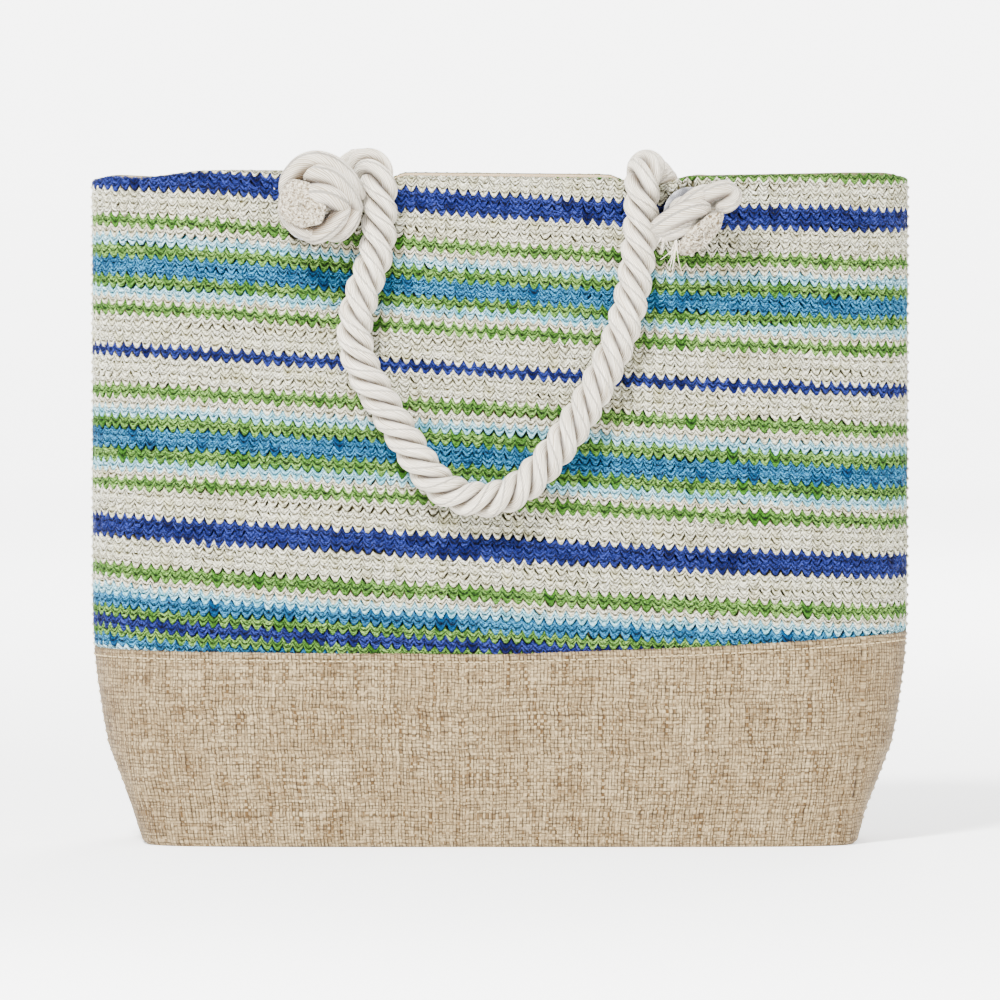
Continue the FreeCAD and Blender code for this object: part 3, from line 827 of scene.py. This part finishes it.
def wall(share, height, out, side, fold=True):
    """Places on a side's wall, out from its plain face, with the top edge turned over."""
    share, height, out = np.broadcast_arrays(share, height, out)
    angle = np.zeros(share.shape)
    level = height
    if fold:
        edge = top_edge(read_table(TABLE_X, share, np.minimum(height, 388.0)), side)
        angle = np.clip(height - (edge - FOLD), 0, FOLD_REACH) / FOLD
        level = np.minimum(height, edge - FOLD)
    x = read_table(TABLE_X, share, level)
    y = read_table(TABLE_Y, share, level)
    normal = read_table(NORMALS, share, level)
    offset = out + soft_wave(share, level, side)
    shift = np.where(angle > 0, (FOLD + offset) * np.cos(angle) - FOLD, offset)
    rise = np.where(angle > 0, (FOLD + offset) * np.sin(angle), 0.0)
    places = np.stack([x, y, level], axis=-1) + normal * shift[..., None]
    places[..., 2] += rise
    return turned(places, side)


def half_arc(height):
    """Half a panel's length along the wall at a height."""
    return np.interp(height, HEIGHTS, HALF_ARC)


def eyelet_share(side):
    """Share of the way along a panel where its right eyelet is."""
    return float(np.interp(EYELET_X, x_at(SHARES, EYELET_Z[side]), SHARES))


def eyelet_distance(share, height, side):
    """Distance along the cloth to the nearer eyelet's middle."""
    centre = eyelet_share(side)
    reach = (np.abs(share) - centre) * half_arc(EYELET_Z[side])
    return np.hypot(reach, height - EYELET_Z[side])


# -------- straw rows

# The rows of the crochet from the top down: colour, and the height from this row's crest to the next one's.
ROWS = [
    ("green", 6.2), ("cream", 5.4), ("cream", 5.2), ("cream", 4.6), ("royal", 6.2), ("royal", 6.5),
    ("cream", 5.4), ("cream", 5.2), ("cream", 4.7), ("green", 6.5), ("cream", 5.2), ("aqua", 4.9),
    ("green", 6.8), ("ocean", 5.5), ("ocean", 5.3), ("green", 6.2), ("aqua", 4.8), ("cream", 3.8),
    ("green", 6.6), ("cream", 6.0), ("cream", 5.8), ("cream", 5.9), ("royal", 5.5), ("cream", 5.9),
    ("cream", 5.5), ("cream", 5.2), ("green", 6.6), ("cream", 6.1), ("aqua", 5.2), ("green", 7.3),
    ("ocean", 5.6), ("ocean", 5.7), ("green", 7.6), ("aqua", 5.0), ("cream", 3.9), ("green", 7.0),
    ("cream", 5.6), ("cream", 5.6), ("cream", 5.6), ("royal", 6.4), ("royal", 6.4), ("cream", 5.7),
    ("cream", 5.6), ("cream", 4.9), ("green", 7.3), ("cream", 5.0), ("aqua", 5.0), ("ocean", 7.6),
    ("green", 5.1), ("royal", 6.6), ("green", 5.4), ("ocean", 5.6), ("aqua", 5.6), ("cream", 5.6),
]
FIRST_CREST = 399.4  # the rows above the edge are turned in with it
REAR_DROP = 3.4  # the rear's rows start this much lower
LOWER_CREAM = 25  # cream rows from this one on are a piece of their own
STITCHES = 84  # along one panel
SKEW_X = [-230, -201, -161, -23, 115, 173, 219]
SKEW_LEVELS = [142, 200, 257, 350]
SKEW_Z = np.array([  # how far the rows of each level stand above or below their height at the middle
    [15.9, 12.9, 10.3, 2.7, -4.8, -7.1, -9.2],
    [12.7, 11.7, 10.4, 3.1, -5.4, -7.8, -10.6],
    [11.9, 11.3, 9.4, 3.2, -6.2, -8.7, -11.8],
    [14.1, 13.5, 11.4, -1.1, -8.3, -8.7, -11.2],
])
PHASES = np.array([0.0, 0.09, 0.22, 0.36, 0.5, 0.64, 0.78, 0.91])
BAND = np.array([0.0, 0.12, 0.32, 0.5, 0.68, 0.86, 1.0, 1.22])  # from a row's lower edge to its upper one
BAND_OUT = np.array([-1.9, -0.35, 0.2, -0.65, -0.1, -0.75, -1.95, -2.5])
CUSP_RISE = np.array([-0.5, -0.5, -0.1, 0.0, 0.1, 0.45, 1.35, 0.7])
TIP_RISE = np.array([0.9, 0.4, 0.1, 0.0, 0.0, -0.2, 0.0, 0.0])
CUSP_CREASE = np.array([0.0, 0.5, 1.0, 0.8, 0.1, 0.0, 0.0, 0.0])  # where a stitch's legs meet below a cusp
TIP_CREASE = np.array([0.0, 0.1, 0.3, 0.8, 1.0, 0.7, 0.0, 0.0])  # and above a tip
PLY_SHADE = np.array([1.0, 0.35, 0.0, 1.0, 0.0, 0.15, 0.8, 1.0])  # painted shade: a row is two plies with a groove between, darkened there and at its edges
RIDGE = np.array([0.0, 0.35, 1.0, 0.0, 1.0, 0.6, 0.0, 0.0])  # painted glint: where the shiny straw would catch the light, lightened in colour
TEETH = 2.0  # height from a row's tip to its cusp
FLANGE_EDGE = (17.5, 15.5)  # between these distances from an eyelet's middle a row goes in under its flange
ROW_GAPS = (14.0, 12.9)  # how near to it the middle and the edges of a row may come


def skew(x, crest):
    """How far a row stands off its height at the middle."""
    level = [np.interp(crest, SKEW_LEVELS, SKEW_Z[:, column]) for column in range(len(SKEW_X))]
    return eased(x, SKEW_X, level)


def row_form(heap, crest, gap, side, row_number):
    """One crocheted row: a ribbon of two plies with scalloped edges, whose cusps tuck under the row above."""
    phase = np.append(np.tile(PHASES, STITCHES), 0.0)
    stitch = np.append(np.repeat(np.arange(STITCHES), len(PHASES)), STITCHES)
    count = len(phase)

    def each_stitch(spread):
        return random.normal(0, spread, STITCHES + 1)[stitch]

    near = 1 - np.abs(1 - 2 * phase)  # 0 at a cusp and 1 at a tip
    wander = slow_noise(count, 34) * 0.05 + each_stitch(0.06) * near
    share = np.clip((stitch + phase + wander - 0.02 * row_number) / STITCHES * 2 - 1, -0.997, 0.997)
    x = x_at(share, min(crest, 386.0))
    base = crest + skew(x, crest) + 0.35 * slow_noise(count, 60)
    lift = each_stitch(0.3)
    fall = 1 - (1 - near) ** 2.1
    teeth = TEETH * (1 + each_stitch(0.07))
    upper = base - teeth * fall + lift * fall
    thick = max(4.9, gap + 0.2) - 0.5 * np.exp(-((near / 0.14) ** 2)) + 1.5 * smooth_step(near, 0.15, 0.75)
    lower = upper - thick
    height = lower[:, None] + (upper - lower)[:, None] * BAND
    cusp = smooth_step(near, 0.5, 0.0)[:, None]
    tip = smooth_step(near, 0.5, 1.0)[:, None]
    out = BAND_OUT + cusp * CUSP_RISE + tip * TIP_RISE
    out = out - 0.6 * np.exp(-((near / 0.15) ** 2))[:, None] * CUSP_CREASE
    out = out - 0.6 * np.exp(-(((1 - near) / 0.15) ** 2))[:, None] * TIP_CREASE
    lean = np.where(phase < 0.5, 0.16, -0.16)[:, None]
    out = out + lean + 0.13 * slow_noise(count, 4)[:, None] + 0.1 * random.normal(0, 1, out.shape)
    height = height + 0.1 * random.normal(0, 1, height.shape)
    seam = seam_height(x)
    under = smooth_step(seam[:, None] + 2.5 - height, 0, 3.0)
    out = np.clip(out, -2.55, 0.4) - 1.5 * under
    covered = smooth_step(eyelet_distance(share[:, None], height, side), *FLANGE_EDGE)
    out = np.maximum(out - 1.3 * covered, -2.6)
    edge = top_edge(x, side)
    keep = (lower < edge + 1.0) & (upper > seam - 0.5)
    keep &= eyelet_distance(share, (upper + lower) / 2, side) > ROW_GAPS[0]
    keep &= eyelet_distance(share, upper, side) > ROW_GAPS[1]
    keep &= eyelet_distance(share, lower, side) > ROW_GAPS[1]
    height = np.maximum(height, seam[:, None] - 6.0)
    points = wall(share[:, None], height, out, side)
    around = len(BAND)
    tone = np.repeat(each_stitch(0.6)[:, None], around, axis=1)
    # painted shade: the lower the ribbon lies, and at its edges and groove, the darker its colour
    painted_shade = np.clip((-out - 0.3) / 1.9 + PLY_SHADE, 0, 1)
    # painted glint strength, varied from stitch to stitch
    ridge = np.clip(RIDGE * (0.75 + 0.35 * each_stitch(1)[:, None]), 0, 1)
    along = 1.35 * PANEL_HALF * share[:, None]
    climb = height - base[:, None] + 1.2 * fall[:, None]
    strand = np.stack(np.broadcast_arrays(along, climb, row_number), axis=-1)
    starts = np.flatnonzero(keep & ~np.append(False, keep[:-1]))
    stops = np.flatnonzero(keep & ~np.append(keep[1:], False))
    for start, stop in zip(starts, stops):
        if stop - start < 2:
            continue
        part = slice(start, stop + 1)
        tables = {"tone": tone, "painted_shade": painted_shade, "ridge": ridge}
        values = {label: table[part].ravel() for label, table in tables.items()}
        heap.add(points[part], tube_quads(stop - start + 1, around), values, {"strand": strand[part]})


def straw_panel(word, side):
    """All rows of one panel, sorted by colour, over a plain backing."""
    heaps = {}
    crest = FIRST_CREST if side < 0 else FIRST_CREST - REAR_DROP
    for row_number, (colour, gap) in enumerate(ROWS):
        label = colour
        if colour == "cream":
            label = "cream_upper" if row_number < LOWER_CREAM else "cream_lower"
        row_form(heaps.setdefault(label, Heap()), crest, gap, side, row_number)
        crest -= gap
    pieces = [heap.piece(f"{word}_{label}_rows", STRAW[label.split("_")[0]]) for label, heap in heaps.items()]
    pieces.append(straw_shade_backing(word, side))
    for piece in pieces:
        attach(piece, "bag")
    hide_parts(f"{word}_straw_panel")


BACKING_OUT = -2.7
BACKING_LOW = 100.0
BACKING_HIGH = 388.0
BACKING_PITCH = 3.0
OPENING = 13.0  # radius of the opening at an eyelet; the cloth round it is drawn apart up to OPENING_REACH
OPENING_REACH = 22.0


def straw_shade_backing(word, side):
    """Plain cloth behind the rows, dark as painted shade for the gaps between them, with a round opening at
    each eyelet.
    """
    rows = int((BACKING_HIGH - BACKING_LOW) / BACKING_PITCH) + 1
    columns = int(2 * half_arc(200.0) / BACKING_PITCH) + 1
    share = np.broadcast_to(np.linspace(-1, 1, columns), (rows, columns))
    top = np.minimum(top_edge(x_at(share, MOUTH_Z), side), BACKING_HIGH)
    height = BACKING_LOW + (top - BACKING_LOW) * np.linspace(0, 1, rows)[:, None]
    for centre in (-eyelet_share(side), eyelet_share(side)):
        reach = (share - centre) * half_arc(EYELET_Z[side])
        rise = height - EYELET_Z[side]
        distance = np.hypot(reach, rise)
        drawn = OPENING + distance * (OPENING_REACH - OPENING) / OPENING_REACH
        grow = np.where(distance < OPENING_REACH, drawn / np.maximum(distance, 0.01), 1.0)
        share = centre + reach * grow / half_arc(EYELET_Z[side])
        height = EYELET_Z[side] + rise * grow
    height = np.minimum(height, top)
    points = wall(share, height, BACKING_OUT, side, fold=False)
    quads = grid_quads(rows, columns)
    return holed_cloth(f"{word}_straw_shade_backing", points, quads, share, height, side, OPENING + 0.6, SHADE_BACKING)


def holed_cloth(name, points, quads, share, height, side, gap, material):
    """Sheet of cloth without the quads that are nearer than gap to an eyelet's middle."""
    middles = [values.ravel()[quads].mean(axis=1) for values in (share, height)]
    return mesh_piece(name, points, quads[eyelet_distance(*middles, side) > gap], material)


for word, side in SIDES:
    straw_panel(word, side)

# -------- burlap

WEAVE = 2.0  # distance between two threads
SEAM_LAP = 0.6  # the burlap's turned edge stands this much over the seam's height
STITCH_DROP = 4.8  # its line of stitches is this far under the edge


def weave_height(across, up):
    """Plain weave in relief, 0 in the gaps and 1 at the crossings, with one thread to each unit."""
    return np.abs(np.sin(math.pi * across) * np.sin(math.pi * up))


def burlap_panel(word, side):
    """Lower panel with its weave in relief, from the floor edge to the seam."""
    columns = 3 * 260 + 1
    rows = 3 * 55 + 1
    share = np.broadcast_to(np.linspace(-1, 1, columns), (rows, columns))
    top = seam_height(x_at(share, 110.0)) + SEAM_LAP
    height = np.linspace(0, 1, rows)[:, None] * top
    drift = slow_noise(columns, 60) * 0.2 + slow_noise(rows, 40)[:, None] * 0.16
    across = 0.1 * slow_noise(rows, 7)[:, None] + 0.22 * slow_noise(columns, 6) + drift
    across = across + share * PANEL_HALF / WEAVE
    up = height / WEAVE + 0.1 * slow_noise(columns, 7) + 0.22 * slow_noise(rows, 6)[:, None] - drift
    out = 0.15 + 0.42 * (weave_height(across, up) ** 0.35 - 0.7)
    out = out + 0.07 * slow_noise(columns, 4) + 0.09 * slow_noise(rows, 4)[:, None]
    out -= 0.5 * np.exp(-(((top - height - STITCH_DROP) / 1.1) ** 2))
    out += 0.5 * smooth_step(height, 14, 2) * np.exp(-(((np.abs(share) - 0.8) / 0.08) ** 2))
    out -= 2.4 * smooth_step(top - height, 1.6, 0.0) ** 2
    out -= 1.6 * smooth_step(height, 3.0, 0.0) ** 2
    points = wall(share, height, out, side, fold=False)
    cloth = np.stack([across, up, np.zeros_like(up)], axis=-1)
    quads = grid_quads(rows, columns)
    panel = mesh_piece(f"{word}_burlap_panel", points, quads, BURLAP, None, {"cloth": cloth})
    for piece in (panel, base_panel(word, side), topstitches(word, side)):
        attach(piece, "bag")
    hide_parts(f"{word}_lower_panel")


def base_panel(word, side):
    """This side's half of the base, flat on the floor, with its middle seam's edge turned in."""
    columns = 2 * 218 + 1
    rows = 40
    share = np.broadcast_to(np.linspace(-1, 1, columns), (rows, columns))
    inward = np.linspace(0, 1, rows)[:, None]
    rim = wall(share, 0.2, -1.5, -1, fold=False)
    x = rim[..., 0]
    y = rim[..., 1] * (1 - inward)
    across = x / WEAVE + 0.3 * slow_noise(rows, 4)[:, None]
    up = y / WEAVE + 0.3 * slow_noise(columns, 5)
    z = np.maximum(0.45 - 0.4 * weave_height(across, up) ** 0.5 + 1.2 * np.exp(-((y / 1.6) ** 2)), 0.02)
    points = turned(np.stack([x, y, z], axis=-1), side)
    cloth = np.stack([across, up, np.zeros_like(up)], axis=-1)
    quads = grid_quads(rows, columns)[:, ::-1]
    return mesh_piece(f"{word}_base_panel", points, quads, BURLAP, None, {"cloth": cloth})


def stitch_form(heap, start, stop, radius, normal):
    """One thread stitch: a short bar that dives into the cloth at both ends."""
    share = np.linspace(0, 1, 7)[:, None]
    line = start + (stop - start) * share + normal * (radius * (2.2 * np.sin(math.pi * share) - 1.0))
    angle = np.linspace(0, 2 * math.pi, 6, endpoint=False)
    heading = (stop - start) / np.linalg.norm(stop - start)
    beside = np.cross(normal, heading)
    ring = np.cos(angle)[:, None] * normal + np.sin(angle)[:, None] * beside
    heap.add(line[:, None, :] + radius * ring, tube_quads(7, 6))


def topstitches(word, side):
    """The line of thread that holds the burlap's turned edge over the straw."""
    heap = Heap()
    arc = half_arc(108.0)
    count = int(2 * arc / 4.2)
    for number in range(count):
        start = -arc + (number + 0.14) * 2 * arc / count
        stop = -arc + (number + 0.86) * 2 * arc / count
        share = np.array([start, stop]) / arc
        height = seam_height(x_at(share, 108.0)) + SEAM_LAP - STITCH_DROP
        ends = wall(share, height, 0.05, side, fold=False)
        normal = turned(read_table(NORMALS, share, height).mean(axis=0), side)
        stitch_form(heap, ends[0], ends[1], 0.42, normal)
    return heap.piece(f"{word}_topstitching", BURLAP_THREAD)


for word, side in SIDES:
    burlap_panel(word, side)

# -------- facing and lining


FACING_LOW = 357.0
FACING_ROWS = np.array([  # round the strip: how far out it is, and its share of the way down from the top
    [-3.2, -3.2, -3.2, -3.25, -3.5, -3.9, -4.3, -4.5, -4.5, -4.5, -4.5, -4.5, -4.5, -4.3, -3.2],
    [1.0, 0.35, 0.1, 0.03, 0.0, 0.0, 0.03, 0.08, 0.2, 0.35, 0.5, 0.65, 0.85, 1.0, 1.0],
])
CLOTH_GAP = 12.0  # how near to an eyelet's middle the facing and the lining come
STITCH_LEVEL = 359.5  # of the line of stitches along the facing's lower edge


def facing_band(word, side):
    """Tan band inside the mouth: a thin closed strip with a rounded upper edge."""
    columns = 181
    outs, drops = FACING_ROWS[..., None]
    share = np.broadcast_to(np.linspace(-0.999, 0.999, columns), (len(outs), columns))
    top = top_edge(x_at(share, MOUTH_Z), side) - 0.5
    height = np.minimum(top - drops * (top - FACING_LOW), top - 0.02)
    out = outs - 0.25 * np.sin(share * 60) * smooth_step(drops, 0.2, 0.6)
    points = wall(share, height, out, side, fold=False)
    quads = grid_quads(len(outs), columns)[:, ::-1]
    return holed_cloth(f"{word}_facing_band", points, quads, share, height, side, CLOTH_GAP, FACING)


def facing_stitches(word, side):
    """Line of thread along the facing's lower edge, with a gap at each eyelet."""
    heap = Heap()
    count = int(2 * half_arc(360.0) / 4.0)
    for number in range(count):
        share = np.array([number + 0.14, number + 0.86]) / count * 2 - 1
        if eyelet_distance(share, STITCH_LEVEL, side).min() < 16.5:
            continue
        ends = wall(share * 0.995, STITCH_LEVEL, -4.75, side, fold=False)
        normal = -turned(read_table(NORMALS, share, np.full(2, STITCH_LEVEL)).mean(axis=0), side)
        stitch_form(heap, ends[0], ends[1], 0.36, normal)
    return heap.piece(f"{word}_facing_stitching", CREAM_THREAD)


def facing_form(word, side):
    """The facing's band and its stitches."""
    piece = facing_band(word, side)
    thread = facing_stitches(word, side)
    for item in (piece, thread):
        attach(item, "bag")
    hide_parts(f"{word}_top_facing")


def lining_form(word, side):
    """Cloth inside the bag, slightly creased, with its half of the inner base."""
    columns = 161
    base_rows = 23
    heights = np.linspace(5.2, 357.4, 90)
    height, share = np.meshgrid(heights, np.linspace(-0.999, 0.999, columns), indexing="ij")
    crease = 0.5 * np.sin(share * 31 + height / 43) * np.sin(height / 27 + 1.0) - 0.4
    crease *= smooth_step(height, 350, 330) * smooth_step(np.abs(share), 0.999, 0.9)
    walls = turned(wall(share, height, -4.35 + 0.6 * crease, side, fold=False), side)
    outward = np.linspace(0, 1, base_rows + 1)[:-1, None]
    floor = np.stack(np.broadcast_arrays(walls[0, :, 0], walls[0, :, 1] * outward, 5.0), axis=-1)
    points = turned(np.concatenate([floor, walls]), side)
    quads = grid_quads(len(points), columns)[:, ::-1]
    blank = np.zeros((base_rows, columns))
    share = np.concatenate([blank, share])
    height = np.concatenate([blank, height])
    piece = holed_cloth(f"{word}_lining_cloth", points, quads, share, height, side, CLOTH_GAP, LINING)
    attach(piece, "bag")
    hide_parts(f"{word}_lining")


def side_seam(word, hand):
    """Whip stitches that close a side seam from the burlap's foot to the mouth."""
    heap = Heap()
    for height in np.arange(6.0, 380.0, 5.6):
        front = wall(np.array([0.992 * hand]), height, 0.1, -1, fold=False)[0]
        rear = wall(np.array([-0.992 * hand]), height + 2.2, 0.1, 1, fold=False)[0]
        stitch_form(heap, front, rear, 0.55, np.array([float(hand), 0.0, 0.0]))
    piece = heap.piece(f"{word}_side_seam", CREAM_THREAD)
    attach(piece, "bag")


for word, side in SIDES:
    facing_form(word, side)
    lining_form(word, side)
for word, hand in (("left", -1), ("right", 1)):
    side_seam(word, hand)

# -------- eyelets

for word in ("front", "rear"):
    for hand in ("left", "right"):
        for suffix in ("eyelet", "eyelet_washer"):
            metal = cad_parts[f"{word}_{hand}_{suffix}"]
            if not metal.material_slots:
                metal.data.materials.append(EYELET)
            for slot in metal.material_slots:
                slot.material = EYELET

# -------- floor and light


def backdrop():
    """Pale round floor whose far rim rises, so that it is behind the bag from every side; it glows as painted
    light, faintly near the bag and more towards the rim.
    """
    radii = [1.0, 1500.0, 4000.0, 7000.0, 9000.0, 10500.0, 11500.0, 12000.0, 12200.0]
    rises = [0.0, 0.0, 0.0, 0.0, 120.0, 500.0, 1150.0, 2200.0, 4200.0]
    spokes = 96
    angle = np.linspace(0, 2 * math.pi, spokes + 1)
    points = [(r * math.cos(t), r * math.sin(t), z) for r, z in zip(radii, rises) for t in angle]
    quads = grid_quads(len(radii), spokes + 1)
    graph = Graph("glowing_backdrop_paper")
    fleck = graph.noise(graph.place(), (30, 30, 30))
    colour = graph.mix(fleck, srgb(250, 250, 249), srgb(247, 247, 246))
    x, y, _ = graph.split(graph.place())
    reach = graph.math("SQRT", graph.plus(graph.times(x, x), graph.times(y, y)))
    # painted light: the paper glows, more the farther it is from the bag
    graph.put(graph.shader.inputs["Emission Strength"], graph.span(reach, 0.6, 4.0, 0.7, 3.8))
    paper = graph.finish(colour, 0.9, Specular_IOR_Level=0.1, Emission_Color=(1.0, 1.0, 1.0, 1.0))
    piece = mesh_piece("backdrop", np.array(points), quads, paper)


def area_light(name, place, target, size, power):
    """Round white lamp at a place, turned to its target."""
    data = bpy.data.lights.new(name, "AREA")
    data.shape = "DISK"
    data.size = size
    data.energy = power
    lamp = bpy.data.objects.new(name, data)
    lamp.location = place
    lamp.rotation_euler = (Vector(target) - Vector(place)).to_track_quat("-Z", "Y").to_euler()
    bpy.context.scene.collection.objects.link(lamp)


backdrop()
area_light("key_light", (-0.9, -2.2, 2.5), (0, 0, 0.2), 0.6, 400)
area_light("fill_light", (2.0, -2.2, 1.0), (0, 0, 0.2), 1.6, 24)
area_light("back_light", (0.6, 2.4, 1.8), (0, 0, 0.25), 1.4, 130)
world = bpy.data.worlds.new("studio")
world.use_nodes = True
sky = world.node_tree.nodes["Background"]
sky.inputs["Color"].default_value = (1.0, 1.0, 1.0, 1.0)
sky.inputs["Strength"].default_value = 1.2
bpy.context.scene.world = world
